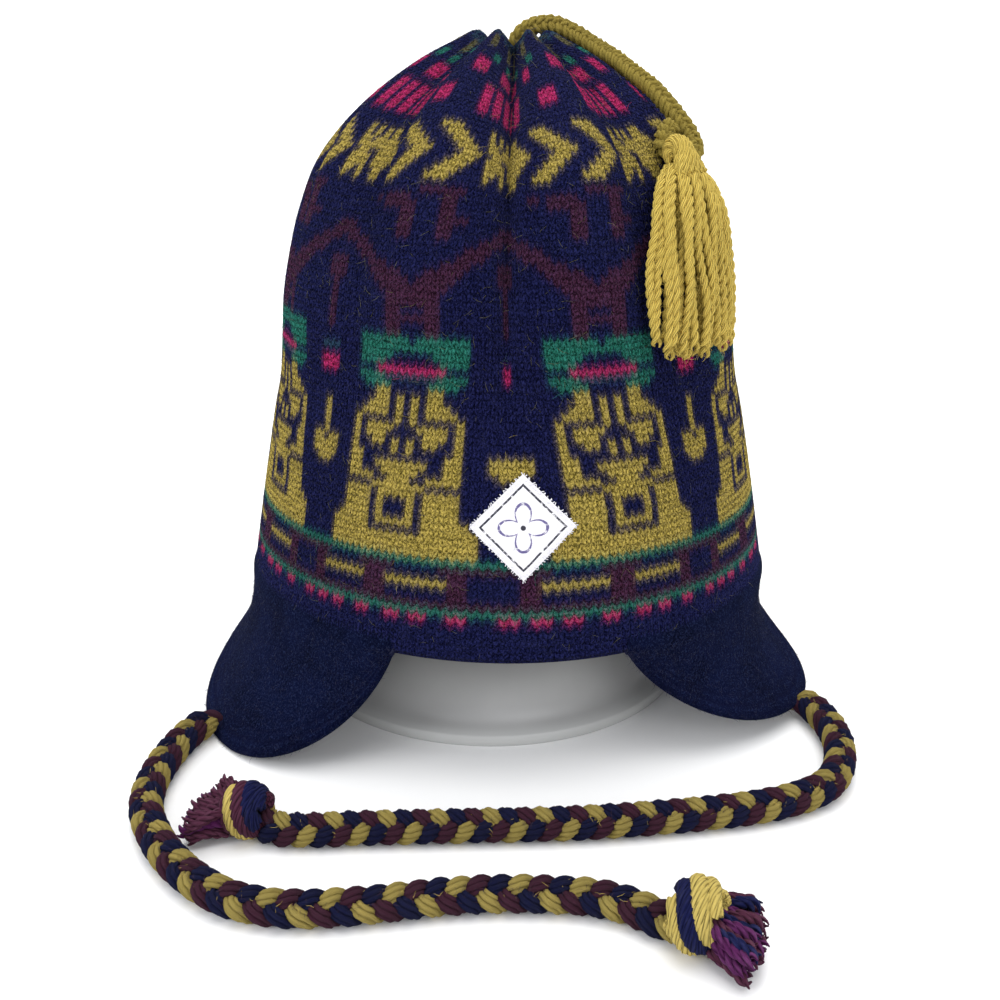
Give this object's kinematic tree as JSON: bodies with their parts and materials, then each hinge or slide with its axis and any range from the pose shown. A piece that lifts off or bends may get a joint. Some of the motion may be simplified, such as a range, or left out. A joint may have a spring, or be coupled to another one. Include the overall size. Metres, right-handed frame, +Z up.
{
  "type": "knitted chullo hat on a plain stand",
  "caption": "Knitted wool chullo hat with gathered crown, flared ear flaps, braided ties and a corded tassel, set over a plain round hollow stand.",
  "frame": {"origin": "on the surface that the stand rests on, under the middle of the hat's and stand's outline", "axes": "+Z up; the hat's back, with the label, faces -Y; +X is to the right in a view of the back"},
  "size_m": [0.2313, 0.2785, 0.2334],
  "materials": {
    "patterned_knit": "stranded wool knit, slightly fuzzy",
    "navy_knit": "felted wool knit",
    "white_cloth": "thin woven cloth, matte",
    "gold_yarn": "plied wool yarn",
    "braided_yarn": "plied wool yarn, braided",
    "burgundy_yarn": "plied wool yarn, cut ends",
    "stand_plastic": "smooth, satin"
  },
  "bodies": {
    "root": {"crown": "patterned_knit", "ear_flap_left": "navy_knit", "ear_flap_right": "navy_knit", "label": "white_cloth", "top_cord": "gold_yarn", "tassel": "gold_yarn", "tie_left": "braided_yarn", "tie_right": "braided_yarn", "knot_left": "gold_yarn", "knot_right": "braided_yarn", "tuft_left": "burgundy_yarn", "tuft_right": "burgundy_yarn", "stand": "stand_plastic"}
  },
  "joints": []
}
